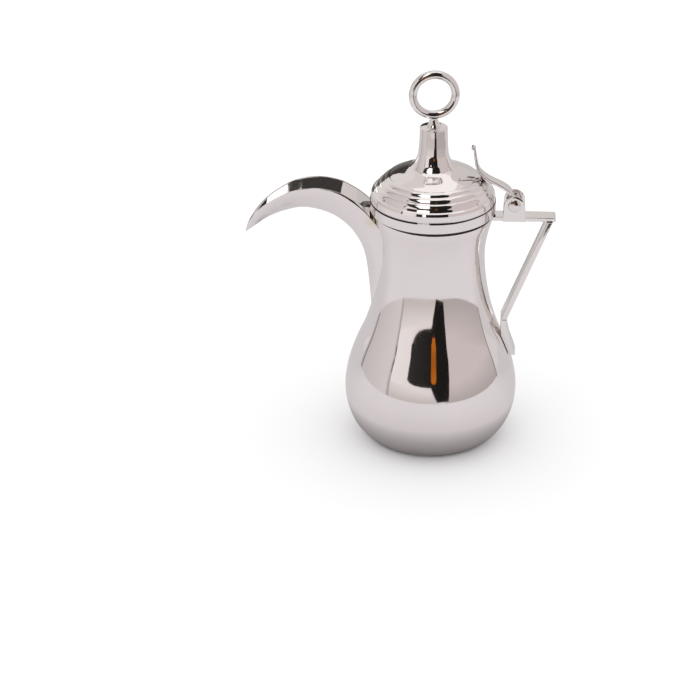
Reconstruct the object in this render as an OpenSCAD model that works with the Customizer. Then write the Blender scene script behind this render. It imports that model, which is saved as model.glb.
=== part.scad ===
// Dallah coffee pot: a spun silver-plated pot with a crescent spout, a hinged
// domed lid under a ring finial, and a flat strap handle.
// Origin at the centre of the base, +Z up, spout towards -X, handle towards +X.

/* [Pot body] */
// Widest diameter of the bowl
belly_d = 126.6; // [124:0.2:128]
// Thickness of the spun sheet of the bowl, neck and lid
sheet_t = 1.2; // [1:0.1:1.4]
// Radius of the flat plate that closes the bottom
base_r = 40; // [36:0.5:40]
// Diameter of each strainer hole behind the spout
strainer_hole_d = 3.2; // [2:0.2:4]

/* [Collar] */
// Height of the band around the mouth
collar_h = 8; // [6:0.5:9]
// Outer radius of the band and of the lid's edge
collar_r = 45.6; // [45.4:0.1:46]

/* [Spout] */
// Thickness of the two side sheets
spout_sheet_t = 1.0; // [0.8:0.1:1.2]
// Depth that the top cover sits below the sheets' edges
cover_recess = 0.35; // [0.2:0.05:0.8]
// Thickness of the top cover
cover_t = 1.0; // [0.8:0.1:1.4]

/* [Handle] */
// Width of the top bar
bar_w = 11.7; // [11.3:0.1:11.7]
// Thickness of the top bar
bar_t = 3.2; // [2.6:0.1:3.4]
// Width of the grip and the foot
grip_w = 15; // [13:0.5:17]
// Thickness of the grip and the foot
grip_t = 4; // [3.4:0.1:4.4]

/* [Hinge] */
// Radius of the hinge pin
pin_r = 1.8; // [1.5:0.1:2]
// Running clearance of the knuckle on the pin
knuckle_gap = 0.05; // [0.02:0.01:0.09]
// Thickness of each ear
ear_t = 1.25; // [1:0.05:1.5]
// Radius of the ears' round tops
ear_r = 7.5; // [7:0.1:8]
// Radius of the domed rivet heads
head_r = 4.8; // [3.6:0.1:5]

/* [Lid] */
// Height of the raised rings on the lid's shoulder
ridge_h = 0.4; // [0.2:0.05:0.6]
// Thickness of the thumb lever
lever_t = 2.2; // [1.8:0.1:2.4]
// Width of the thumb lever at the hinge
lever_w = 10.6; // [9:0.1:10.8]

/* [Finial] */
// Centre-line radius of the ring
ring_r = 15.3; // [14.8:0.1:16.4]
// Radius of the ring's bar
ring_bar_r = 3; // [2.4:0.1:3.2]
// Turn of the ring about the vertical, from the handle's plane
ring_turn = 8.5; // [0:0.5:90]

/* [Hidden] */
$fn = 96;

SILVER = [0.86, 0.84, 0.83];
SILVER_DARK = [0.72, 0.70, 0.69];

joint_z = 96;      // seam between the bowl and the neck
mouth_z = 188.2;   // rim of the neck and top of the collar
neck_r = 44;       // outside of the neck under the collar
lid_z = 188.5;     // underside of the lid's edge
pin_x = 59;
pin_z = 186.5;

// ---- smooth curve through a list of points, n steps a span ----
function cr(a, b, c, d, t) =
    0.5*(2*b + (c - a)*t + (2*a - 5*b + 4*c - d)*t*t + (3*b - a - 3*c + d)*t*t*t);
function at(P, u) =
    let(m = len(P) - 1, v = max(0, min(u, 1))*m, i = min(floor(v), m - 1), t = v - i)
    cr(P[max(i - 1, 0)], P[i], P[i + 1], P[min(i + 2, m)], t);
function curve(P, n) =
    let(m = (len(P) - 1)*n) [for (k = [0:m]) at(P, k/m)];
// curve moved sideways by d, to the left of its direction
function beside(Q, d) =
    [for (i = [0:len(Q) - 1])
        let(a = Q[max(i - 1, 0)], b = Q[min(i + 1, len(Q) - 1)], v = (b - a)/norm(b - a))
        Q[i] + d*[-v[1], v[0]]];
function back(Q) = [for (i = [len(Q) - 1:-1:0]) Q[i]];

// ---- pot outline, radius and height ----
belly_k = belly_d/126.6;
BOWL = [[44, 0], [47.4, 1.6], [51, 5], [54.7, 9.4], [57.9, 14.6], [60.7, 21.5],
        [62.8, 30.5], [63.3, 41], [61.7, 52.5], [58.6, 64.2], [54.2, 76],
        [49.6, 86.5], [46.3, 96]];
BOWL_K = [for (p = BOWL) let(k = 1 + (belly_k - 1)*max(0, sin(180*min(p[1], 96)/96))) [p[0]*k, p[1]]];
NECK = [[46.3, 96], [43.2, 107], [40.7, 119], [39, 132], [38.3, 145], [39.1, 156],
        [41, 165.5], [43.2, 173.5], [44, 179]];
bowl_out = curve(BOWL_K, 4);
neck_out = concat(curve(NECK, 4), [[neck_r, mouth_z]]);
// radius of the pot's outside at height z
R_OUT = concat([for (p = bowl_out) [p[1], p[0]]], [for (i = [1:len(neck_out) - 1]) [neck_out[i][1], neck_out[i][0]]]);
function pot_r(z) = lookup(z, R_OUT);

module base_plate() {
    color(SILVER_DARK) cylinder(r = base_r, h = sheet_t);
}

module bowl_shell() {
    inner = beside(bowl_out, sheet_t);
    color(SILVER) rotate_extrude($fn = 128)
        polygon(concat([[base_r, 0]], bowl_out,
                       [[inner[len(inner) - 1][0], joint_z]],
                       back([for (p = inner) if (p[1] < joint_z - 0.3 && p[1] > sheet_t + 0.05) p]),
                       [[base_r, sheet_t]]));
}

module neck_shell() {
    inner = beside(neck_out, sheet_t);
    color(SILVER) difference() {
        rotate_extrude($fn = 128)
            polygon(concat(neck_out, [[neck_r - sheet_t, mouth_z]],
                           back([for (p = inner) if (p[1] > joint_z + 0.3 && p[1] < mouth_z - 4) p]),
                           [[inner[0][0], joint_z]]));
        // strainer: rows of holes that open into the spout
        for (row = [0:6]) let(z = 122 + 7*row, n = row < 2 ? 1 : (row < 4 ? 2 : 3))
            for (k = [0:n - 1])
                translate([-50, (k - (n - 1)/2)*7, z]) rotate([0, 90, 0])
                    cylinder(d = strainer_hole_d, h = 16, $fn = 24);
    }
}

module collar_band() {
    z0 = mouth_z - collar_h;
    color(SILVER) rotate_extrude($fn = 128)
        polygon([[neck_r, z0], [collar_r - 0.5, z0], [collar_r, z0 + 0.5],
                 [collar_r, mouth_z - 0.4], [collar_r - 0.4, mouth_z], [neck_r, mouth_z]]);
}

// ---- spout: two side sheets that meet along the keel, and a cover on top ----
// top edge: x, half width, z, from the tip to the neck
TOP = [[-136.2, 0.6, 159.6], [-134.6, 1.7, 165.4], [-131.6, 3.4, 171], [-127.8, 5.2, 176.6],
       [-122.4, 7, 182.4], [-113, 9, 189.6], [-100.5, 10.4, 196.2], [-84.5, 11.5, 199.1],
       [-69, 12, 196.8], [-57.6, 12.3, 191.2], [-48.8, 12.4, 184.6], [-41.8, 12.4, 176.4]];
// keel: x, half width, z
KEEL = [[-136.4, 0.55, 158.8], [-132.6, 0.55, 161.6], [-128, 0.55, 165.2], [-122.8, 0.55, 169.2],
        [-116.2, 0.55, 173], [-107, 0.55, 176.8], [-94.2, 0.55, 179.6], [-80, 0.55, 177.2],
        [-67.4, 0.55, 171], [-56, 0.55, 159], [-48.6, 0.55, 140.6], [-44.7, 0.55, 103]];
// half width of the joint with the neck, by height
ROOT = [[103, 0.55], [110, 3.2], [118.5, 6.4], [128, 10.2], [138.7, 13.6], [147, 16],
        [155.7, 18.3], [163, 20], [168.5, 20.6], [172, 18.8], [174.5, 15.6], [176.4, 12.4]];
SN = 44;  // steps along the sheet
TN = 13;  // steps down the sheet
bulge = 1.7;
function base_pt(s, t) =
    let(a = at(TOP, s), k = at(KEEL, s))
    [a[0] + (k[0] - a[0])*t, k[1] + (a[1] - k[1])*(1 - pow(t, bulge)), a[2] + (k[2] - a[2])*t];
function on_neck(y, z) = [-sqrt(max(1, pow(pot_r(z) - 0.15, 2) - y*y)), y, z];
function sheet_pt(s, t, d) =
    let(b = base_pt(s, t), e = base_pt(1, t),
        y0 = max(b[1] - d, 0), yr = max(lookup(e[2], ROOT) - d, 0),
        r = on_neck(yr, e[2]), f = pow(s, 9), e0 = max(e[1] - d, 0))
    [b[0] + (r[0] - e[0])*f, max(y0 + (yr - e0)*f, d > 0 ? 0 : 0.3), b[2]];
module spout_sheet() {
    n = TN + 1;
    m = SN + 1;
    tt = [for (j = [0:TN]) pow(j/TN, 1.5)];
    pts = concat([for (i = [0:SN]) for (j = [0:TN]) sheet_pt(i/SN, tt[j], 0)],
                 [for (i = [0:SN]) for (j = [0:TN]) sheet_pt(i/SN, tt[j], spout_sheet_t)]);
    q = m*n;
    polyhedron(pts, concat(
        [for (i = [0:SN - 1]) for (j = [0:TN - 1]) let(a = i*n + j) each [[a, a + n, a + n + 1], [a, a + n + 1, a + 1]]],
        [for (i = [0:SN - 1]) for (j = [0:TN - 1]) let(a = q + i*n + j) each [[a, a + n + 1, a + n], [a, a + 1, a + n + 1]]],
        [for (i = [0:SN - 1]) let(a = i*n) each [[a, q + a, q + a + n], [a, q + a + n, a + n]]],
        [for (i = [0:SN - 1]) let(a = i*n + TN) each [[a, a + n, q + a + n], [a, q + a + n, q + a]]],
        [for (j = [0:TN - 1]) each [[j, j + 1, q + j + 1], [j, q + j + 1, q + j]]],
        [for (j = [0:TN - 1]) let(a = SN*n + j) each [[a, q + a, q + a + 1], [a, q + a + 1, a + 1]]]
    ), convexity = 8);
}
module spout_side_back() { color(SILVER) spout_sheet(); }
module spout_side_front() { color(SILVER) mirror([0, 1, 0]) spout_sheet(); }

cover_s0 = 0.385;  // where the cover starts, and the open mouth ends
// point of the cover at s, depth d below the sheets' edges, v from -1 to 1 across
function cover_pt(s, d, v) =
    let(a = at(TOP, s), k = at(KEEL, s), t = d/norm([k[0] - a[0], k[2] - a[2]]), b = base_pt(s, t))
    [b[0], v*(b[1] - spout_sheet_t - 0.03), b[2]];
function cover_out(s, d, v) = let(p = cover_pt(s, d, v)) norm([p[0], p[1]]) - pot_r(p[2]) - 0.02;
function cover_end(d, v, a, b, n) =
    n == 0 ? a : let(c = (a + b)/2) cover_out(c, d, v) > 0 ? cover_end(d, v, c, b, n - 1) : cover_end(d, v, a, c, n - 1);
module spout_cover() {
    cn = 36;
    vv = [-1, -0.5, 0, 0.5, 1];
    w = len(vv);
    ds = [cover_recess, cover_recess + cover_t];
    pts = [for (d = ds) for (i = [0:cn]) for (v = vv)
              cover_pt(cover_s0 + (cover_end(d, v, 0.8, 1, 14) - cover_s0)*i/cn, d, v)];
    q = (cn + 1)*w;
    color(SILVER) polyhedron(pts, concat(
        [for (i = [0:cn - 1]) for (j = [0:w - 2]) let(a = i*w + j) each [[a, a + 1, a + w + 1], [a, a + w + 1, a + w]]],
        [for (i = [0:cn - 1]) for (j = [0:w - 2]) let(a = q + i*w + j) each [[a, a + w + 1, a + 1], [a, a + w, a + w + 1]]],
        [for (i = [0:cn - 1]) let(a = i*w) each [[a, a + w, q + a + w], [a, q + a + w, q + a]]],
        [for (i = [0:cn - 1]) let(a = i*w + w - 1) each [[a, q + a + w, a + w], [a, q + a, q + a + w]]],
        [for (j = [0:w - 2]) each [[j, q + j + 1, j + 1], [j, q + j, q + j + 1]]],
        [for (j = [0:w - 2]) let(a = cn*w + j) each [[a, a + 1, q + a + 1], [a, q + a + 1, q + a]]]
    ), convexity = 6);
}

// ---- handle: a flat strap in three welded lengths ----
bar_z = 174;
bar_end = 89;
grip_top_x = 86.9;   // outer face of the grip at the bar's underside
grip_low = [55.3, 95];
grip_dx = grip_t/cos(atan((grip_top_x - grip_low[0])/(bar_z - grip_low[1])));
module strap(pts, w) {
    translate([0, w/2, 0]) rotate([90, 0, 0]) linear_extrude(w) polygon(pts);
}
module handle_top_bar() {
    r = 2.2;
    x0 = pot_r(bar_z + bar_t/2) - 0.35;
    color(SILVER)
        strap(concat([[x0, bar_z], [bar_end, bar_z]],
                     [for (a = [0:15:90]) [bar_end - r + r*cos(a), bar_z + bar_t - r + r*sin(a)]],
                     [[x0, bar_z + bar_t]]), bar_w);
}
module handle_grip() {
    color(SILVER)
        strap([[grip_low[0] - grip_dx, grip_low[1]], grip_low, [grip_top_x, bar_z],
               [grip_top_x - grip_dx, bar_z]], grip_w);
}
module handle_foot() {
    z1 = 66.7;
    z2 = 82;
    inner = [for (k = [0:6]) let(z = z1 + (z2 - z1)*k/6) [pot_r(z) - 0.08, z]];
    color(SILVER)
        strap(concat([[grip_low[0] - grip_dx, grip_low[1]], [51, 89]], back(inner),
                     [[62.2, 66.4], [60.7, 71.2], [57.6, 80], [56.2, 86]], [grip_low]), grip_w);
}

// ---- hinge ----
ear_y = 5.85;  // inner faces of the ears, against the bar's sides
module ear() {
    translate([0, ear_y + ear_t, 0]) rotate([90, 0, 0]) linear_extrude(ear_t)
        difference() {
            union() {
                translate([pin_x, pin_z]) circle(r = ear_r);
                polygon([[pin_x - 8.25, bar_z], [pin_x + 8.25, bar_z],
                         [pin_x + ear_r, pin_z], [pin_x - ear_r, pin_z]]);
            }
            translate([pin_x, pin_z]) circle(r = pin_r);
        }
}
module hinge_ear_back() { color(SILVER) ear(); }
module hinge_ear_front() { color(SILVER) mirror([0, 1, 0]) ear(); }
module hinge_pin() {
    y1 = ear_y + ear_t;
    head = [for (a = [0:10:90]) [head_r*cos(a), 1.5*sin(a)]];
    color(SILVER_DARK) translate([pin_x, 0, pin_z]) {
        rotate([90, 0, 0]) cylinder(r = pin_r, h = 2*y1, center = true, $fn = 48);
        for (k = [-1, 1]) translate([0, k*y1, 0]) rotate([-90*k, 0, 0])
            rotate_extrude($fn = 48) polygon(concat([[0, 0]], head));
    }
}
module hinge_knuckle() {
    color(SILVER_DARK) translate([pin_x, 0, pin_z]) rotate([90, 0, 0]) difference() {
        cylinder(r = 3.6, h = 11, center = true, $fn = 48);
        cylinder(r = pin_r + knuckle_gap, h = 12, center = true, $fn = 48);
    }
}
// centre line of the thumb lever: x, width, z, from the knuckle to the curled tip
LEVER = [[58.3, lever_w, 189.8], [57, lever_w, 193.2], [54.6, lever_w, 196.4], [51.2, lever_w - 0.2, 199],
         [46.6, lever_w - 0.8, 201.6], [41.4, lever_w - 1.6, 204.2], [37, lever_w - 2.4, 207.3],
         [33.6, lever_w - 3.4, 210.7], [31.6, lever_w - 4.2, 214.6], [30.6, lever_w - 5, 219.4],
         [29.8, lever_w - 5.6, 225], [29.4, lever_w - 6, 229.4]];
module lid_lever() {
    n = 44;
    Q = curve(LEVER, 4);
    N = [for (i = [0:n]) let(a = Q[max(i - 1, 0)], b = Q[min(i + 1, n)], v = [b[0] - a[0], b[2] - a[2]]/norm([b[0] - a[0], b[2] - a[2]]))
            [v[1], -v[0]]*lever_t/2];
    pts = [for (i = [0:n]) for (c = [[-1, -1], [1, -1], [1, 1], [-1, 1]])
              [Q[i][0] + c[0]*N[i][0], c[1]*Q[i][1]/2, Q[i][2] + c[0]*N[i][1]]];
    color(SILVER) {
        polyhedron(pts, concat([[0, 1, 2, 3]],
            [for (i = [0:n - 1]) for (j = [0:3]) let(a = 4*i + j, b = 4*i + (j + 1) % 4) each [[a, a + 4, b + 4], [a, b + 4, b]]],
            [[4*n + 3, 4*n + 2, 4*n + 1, 4*n]]), convexity = 6);
        // rolled tip
        translate([29.2, 0, 229.9]) rotate([90, 0, 0]) cylinder(r = 1.5, h = lever_w - 6, center = true, $fn = 32);
        // lug that carries the lever on the lid's shoulder
        strap(concat([for (k = [0:5]) let(x = 34.4 + k) [x, lookup(x, DOME_Z) - 0.12]],
                     [[41.2, 203.6], [37, 206.6], [33.8, 209.8]]), 4.6);
    }
}

// ---- lid ----
DOME = [[45.2, 189.8], [44.9, 191.2], [43.6, 194.1], [41.2, 197.4], [38.4, 200.7], [34.8, 203.9],
        [30.6, 207.05], [26, 209.5], [21, 211.7], [16.5, 213.65], [12, 215.1], [7, 215.6], [1.65, 215.6]];
dome_top = 215.6;  // crown of the dome, inside the spire's foot
dome_out = curve(DOME, 4);
DOME_Z = [for (p = back(dome_out)) [p[0], p[1]]];
RIDGES = [[42.9, 194.2], [40.1, 198.3], [36.7, 202.3], [33.1, 205.3]];
ridge_w = 2.45;
// the dome's outline with the four low, round ridges on its shoulder
dome_line = curve(DOME, 6);
dome_ridged = [for (i = [0:len(dome_line) - 1])
    let(p = dome_line[i], a = dome_line[max(i - 1, 0)], b = dome_line[min(i + 1, len(dome_line) - 1)],
        v = (b - a)/norm(b - a), x = min([for (r = RIDGES) norm(p - r)])/ridge_w)
    p + [v[1], -v[0]]*ridge_h*max(0, 1 - x*x)];
module lid_dome() {
    inner = beside(dome_out, sheet_t);
    color(SILVER)
        rotate_extrude($fn = 128)
            polygon(concat([[41.3, lid_z], [collar_r, lid_z], [collar_r, lid_z + 0.9]], dome_ridged,
                           [[1.65, dome_top - sheet_t]],
                           back([for (p = inner) if (p[0] > 2 && p[1] > 190.8) p]),
                           [[43.4, 189.7], [41.3, 189.7]]));
}
module lid_skirt() {
    color(SILVER_DARK) difference() {
        translate([0, 0, lid_z - 6]) cylinder(r = 42.3, h = 6, $fn = 128);
        translate([0, 0, lid_z - 7]) cylinder(r = 41.3, h = 8, $fn = 128);
    }
}

// ---- finial ----
SPIRE = [[18.8, 212.9], [17.2, 213.65], [16.1, 214.45], [15.1, 215.45], [14.2, 216.7], [13.4, 218.2], [12.6, 219.9],
         [11.9, 221.7], [11.2, 224.1], [10.75, 227], [10.4, 230.8], [10.25, 235], [10.1, 239], [10, 243]];
module spire_shell() {
    outer = curve(SPIRE, 4);
    inner = beside(outer, 1);
    color(SILVER) rotate_extrude()
        polygon(concat(outer, [[9, 243]],
                       back([for (p = inner) if (p[1] > 215.2 && p[1] < 242.6) p]),
                       [for (r = [15:0.9:18.6]) [r, lookup(r, DOME_Z) - 0.03]]));
}
module spire_cap() {
    color(SILVER) rotate_extrude()
        polygon([[1.6, 243], [10, 243], [10, 243.7], [9.65, 244.1], [5.3, 244.7], [1.6, 244.9]]);
}
module ring_socket() {
    color(SILVER) difference() {
        rotate_extrude($fn = 64)
            polygon([[1.5, 244.9], [5.2, 244.72], [5.2, 245.3], [4.5, 246.1], [3.8, 247.3], [3.3, 248.8],
                     [3, 251.2], [0, 251.2], [0, 248.4], [1.5, 248.4]]);
        ring_solid(ring_bar_r);
    }
}
ring_z = 268.7;
module ring_solid(r) {
    translate([0, 0, ring_z]) rotate([90, 0, ring_turn])
        rotate_extrude($fn = 96) translate([ring_r, 0]) circle(r = r, $fn = 48);
}
module finial_ring() { color(SILVER) ring_solid(ring_bar_r); }
inside_top = dome_top - sheet_t;  // underside of the dome's crown
module finial_tie_rod() {
    color(SILVER_DARK) translate([0, 0, inside_top - 4.8]) cylinder(r = 1.5, h = 248.4 - inside_top + 4.8, $fn = 32);
}
module finial_washer() {
    color(SILVER_DARK) difference() {
        translate([0, 0, inside_top - 1.1]) cylinder(r = 5.5, h = 1.1, $fn = 48);
        translate([0, 0, inside_top - 2]) cylinder(r = 1.6, h = 3, $fn = 32);
    }
}
module finial_nut() {
    color(SILVER_DARK) difference() {
        translate([0, 0, inside_top - 3.5]) cylinder(r = 3.2, h = 2.4, $fn = 6);
        translate([0, 0, inside_top - 4]) cylinder(r = 1.5, h = 3.5, $fn = 32);
    }
}

base_plate();
bowl_shell();
neck_shell();
collar_band();
spout_side_front();
spout_side_back();
spout_cover();
handle_top_bar();
handle_grip();
handle_foot();
hinge_ear_front();
hinge_ear_back();
hinge_pin();
hinge_knuckle();
lid_lever();
lid_dome();
lid_skirt();
spire_shell();
spire_cap();
ring_socket();
finial_ring();
finial_tie_rod();
finial_washer();
finial_nut();
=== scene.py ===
import math
import bmesh
import bpy
import numpy as np
from mathutils import Vector, Matrix


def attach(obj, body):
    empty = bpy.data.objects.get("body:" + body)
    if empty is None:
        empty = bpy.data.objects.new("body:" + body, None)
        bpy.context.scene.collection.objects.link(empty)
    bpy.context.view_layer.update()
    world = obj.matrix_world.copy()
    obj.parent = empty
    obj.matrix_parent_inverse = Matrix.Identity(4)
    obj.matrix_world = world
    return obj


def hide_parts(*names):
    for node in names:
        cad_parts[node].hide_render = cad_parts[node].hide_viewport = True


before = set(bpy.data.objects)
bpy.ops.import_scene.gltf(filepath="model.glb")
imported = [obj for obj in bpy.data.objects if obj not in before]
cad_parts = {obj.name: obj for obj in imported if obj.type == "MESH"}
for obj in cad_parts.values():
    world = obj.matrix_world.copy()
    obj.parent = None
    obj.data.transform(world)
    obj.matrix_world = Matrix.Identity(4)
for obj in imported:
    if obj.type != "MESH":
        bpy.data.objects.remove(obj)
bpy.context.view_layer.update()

MM = 0.001
scene = bpy.context.scene
scene.view_settings.view_transform = "Standard"
scene.view_settings.look = "None"
scene.cycles.max_bounces = 16
scene.cycles.glossy_bounces = 12

# ------------------------------------------------------------------ camera
PITCH, TURN = math.radians(26.9), math.radians(3.0)
cam_data = bpy.data.cameras.new("camera")
cam_data.sensor_width = 36
cam_data.lens = 3000 / 700 * 36
cam_data.clip_start, cam_data.clip_end = 0.05, 60
cam = bpy.data.objects.new("camera", cam_data)
scene.collection.objects.link(cam)
cam.location = (0.04398, -1.98490, 1.07203)
cam.rotation_euler = (math.pi / 2 - PITCH, 0, TURN)
scene.camera = cam


# ------------------------------------------------------------------ curves
def cr(a, b, c, d, t):
    return 0.5 * (2 * b + (c - a) * t + (2 * a - 5 * b + 4 * c - d) * t * t + (3 * b - a - 3 * c + d) * t ** 3)


def at(P, u):
    m = len(P) - 1
    v = min(max(u, 0.0), 1.0) * m
    i = min(int(v), m - 1)
    t = v - i
    return np.array([cr(a, b, c, d, t) for a, b, c, d in zip(P[max(i - 1, 0)], P[i], P[i + 1], P[min(i + 2, m)])])


def curve(P, n):
    m = (len(P) - 1) * n
    return [at(P, k / m) for k in range(m + 1)]


def beside(Q, d):
    out = []
    for i in range(len(Q)):
        a, b = Q[max(i - 1, 0)], Q[min(i + 1, len(Q) - 1)]
        v = (b - a) / np.linalg.norm(b - a)
        out.append(Q[i] + d * np.array([-v[1], v[0]]))
    return out


def resample(Q, step):
    """The same line with points an even step apart."""
    Q = np.asarray(Q, float)
    s = np.concatenate([[0], np.cumsum(np.linalg.norm(np.diff(Q, axis=0), axis=1))])
    n = max(2, int(round(s[-1] / step)))
    t = np.linspace(0, s[-1], n + 1)
    return [np.array([np.interp(x, s, Q[:, k]) for k in range(Q.shape[1])]) for x in t]


# ------------------------------------------------------------------ mesh helpers
def finish_mesh(me, angle=35):
    me.update()
    for p in me.polygons:
        p.use_smooth = True
    me.set_sharp_from_angle(angle=math.radians(angle))
    return me


def add(name, verts, faces, angle=35):
    me = bpy.data.meshes.new(name)
    me.from_pydata([tuple(float(c) * MM for c in v) for v in verts], [], [tuple(f) for f in faces])
    me.validate()
    bm = bmesh.new()
    bm.from_mesh(me)
    bmesh.ops.remove_doubles(bm, verts=bm.verts, dist=1e-7)
    bmesh.ops.recalc_face_normals(bm, faces=bm.faces)
    bm.to_mesh(me)
    bm.free()
    finish_mesh(me, angle)
    o = bpy.data.objects.new(name, me)
    scene.collection.objects.link(o)
    return o


def lathe_data(outline, seg):
    """A closed outline of (radius, height) turned about Z."""
    n = len(outline)
    V, F = [], []
    idx = []
    for r, z in outline:
        if r < 1e-6:
            idx.append([len(V)] * seg)
            V.append((0, 0, z))
        else:
            base = len(V)
            idx.append([base + k for k in range(seg)])
            V += [(r * math.cos(2 * math.pi * k / seg), r * math.sin(2 * math.pi * k / seg), z) for k in range(seg)]
    for i in range(n):
        a, b = idx[i], idx[(i + 1) % n]
        if a[0] == a[-1] and b[0] == b[-1]:
            continue
        for k in range(seg):
            m = (k + 1) % seg
            q = [a[k], a[m], b[m], b[k]]
            q = [v for j, v in enumerate(q) if v not in q[:j]]
            if len(q) > 2:
                F.append(q)
    return V, F


def lathe(name, outline, seg=256, angle=35):
    V, F = lathe_data(outline, seg)
    return add(name, V, F, angle)


def round_corner(p, q, r, radius, n=4):
    """Points that round the corner q between p and r."""
    p, q, r = (np.asarray(x, float) for x in (p, q, r))
    a, b = (p - q) / np.linalg.norm(p - q), (r - q) / np.linalg.norm(r - q)
    half = math.acos(max(-1, min(1, float(a @ b)))) / 2
    d = min(radius / math.tan(half), np.linalg.norm(p - q) * 0.48, np.linalg.norm(r - q) * 0.48)
    rad = d * math.tan(half)
    m = (a + b) / np.linalg.norm(a + b)
    c = q + m * (rad / math.sin(half))
    s, e = q + a * d, q + b * d
    a0 = math.atan2(*(s - c)[::-1])
    a1 = math.atan2(*(e - c)[::-1])
    da = (a1 - a0 + math.pi) % (2 * math.pi) - math.pi
    return [c + rad * np.array([math.cos(a0 + da * k / n), math.sin(a0 + da * k / n)]) for k in range(n + 1)]


def rounded(poly, radii, n=4):
    """A closed polygon with its corners rounded, radii a number or one a corner."""
    m = len(poly)
    if not hasattr(radii, "__len__"):
        radii = [radii] * m
    out = []
    for i in range(m):
        if radii[i] > 0:
            out += round_corner(poly[i - 1], poly[i], poly[(i + 1) % m], radii[i], n)
        else:
            out.append(np.asarray(poly[i], float))
    return out


def strap(name, poly, width, edge=0.5, y0=0.0, angle=30, steps=3, hole=None):
    """A flat piece: an outline in XZ, given its width along Y, with its long edges rounded by edge."""
    me = bpy.data.meshes.new(name)
    bm = bmesh.new()
    rings = []
    if hole:
        # outline and hole as two rings, the face between them filled with triangles
        hx, hz, hr, hn = hole
        rings = []
    lo = [bm.verts.new((p[0] * MM, (y0 - width / 2) * MM, p[1] * MM)) for p in poly]
    if hole:
        hl = [bm.verts.new(((hx + hr * math.cos(2 * math.pi * k / hn)) * MM, (y0 - width / 2) * MM, (hz + hr * math.sin(2 * math.pi * k / hn)) * MM)) for k in range(hn)]
        el = [bm.edges.new((lo[i], lo[(i + 1) % len(lo)])) for i in range(len(lo))]
        eh = [bm.edges.new((hl[i], hl[(i + 1) % hn])) for i in range(hn)]
        bmesh.ops.triangle_fill(bm, use_beauty=True, edges=el + eh)
    else:
        bm.faces.new(lo)
    res = bmesh.ops.extrude_face_region(bm, geom=bm.faces[:])
    up = [v for v in res["geom"] if isinstance(v, bmesh.types.BMVert)]
    bmesh.ops.translate(bm, verts=up, vec=(0, width * MM, 0))
    bmesh.ops.recalc_face_normals(bm, faces=bm.faces)
    if edge > 0:
        sharp = []
        for e in bm.edges:
            if len(e.link_faces) == 2:
                ny = [abs(f.normal.y) for f in e.link_faces]
                if (ny[0] > 0.9) != (ny[1] > 0.9):
                    sharp.append(e)
        bmesh.ops.bevel(bm, geom=sharp, offset=edge * MM, segments=steps, profile=0.5, affect="EDGES", clamp_overlap=True)
    bm.normal_update()
    bm.to_mesh(me)
    bm.free()
    finish_mesh(me, angle)
    o = bpy.data.objects.new(name, me)
    scene.collection.objects.link(o)
    return o


def grid_faces(rows, cols, close_cols=False, base=0):
    F = []
    for i in range(rows - 1):
        for j in range(cols if close_cols else cols - 1):
            k = (j + 1) % cols
            F.append((base + i * cols + j, base + i * cols + k, base + (i + 1) * cols + k, base + (i + 1) * cols + j))
    return F


def sweep(name, rings, angle=40, caps=True):
    """Joins a list of closed rings, each with the same number of points."""
    n = len(rings[0])
    V = [p for r in rings for p in r]
    F = grid_faces(len(rings), n, True)
    if caps:
        F.append(tuple(range(n - 1, -1, -1)))
        F.append(tuple((len(rings) - 1) * n + k for k in range(n)))
    return add(name, V, F, angle)


# ------------------------------------------------------------------ sizes shared with the CAD model
SHEET = 1.2
JOINT_Z, MOUTH_Z, NECK_R, LID_Z = 96, 188.2, 44, 188.5
COLLAR_R, COLLAR_H, BASE_R = 45.6, 8, 40
PIN_X, PIN_Z, PIN_R = 59, 186.5, 1.8
BOWL = [[44, 0], [47.4, 1.6], [51, 5], [54.7, 9.4], [57.9, 14.6], [60.7, 21.5], [62.8, 30.5], [63.3, 41],
        [61.7, 52.5], [58.6, 64.2], [54.2, 76], [49.6, 86.5], [46.3, 96]]
NECK = [[46.3, 96], [43.2, 107], [40.7, 119], [39, 132], [38.3, 145], [39.1, 156], [41, 165.5], [43.2, 173.5], [44, 179]]
# one smooth line for the whole body, so that the seam between bowl and neck is polished away
BODY = BOWL + NECK[1:]
body_line = curve(BODY, 40)
bowl_line = resample([p for p in body_line if p[1] <= JOINT_Z + 1e-6], 0.8)
neck_line = resample([p for p in body_line if p[1] >= JOINT_Z - 1e-6] + [np.array([NECK_R, MOUTH_Z])], 0.8)
bz = np.array([p[1] for p in body_line] + [MOUTH_Z])
br = np.array([p[0] for p in body_line] + [NECK_R])


def pot_r(z):
    return float(np.interp(z, bz, br))


# ------------------------------------------------------------------ materials
def node(nt, kind, x=0, y=0, **values):
    n = nt.nodes.new(kind)
    n.location = (x, y)
    for k, v in values.items():
        if k in n.inputs:
            n.inputs[k].default_value = v
        else:
            setattr(n, k, v)
    return n


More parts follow.
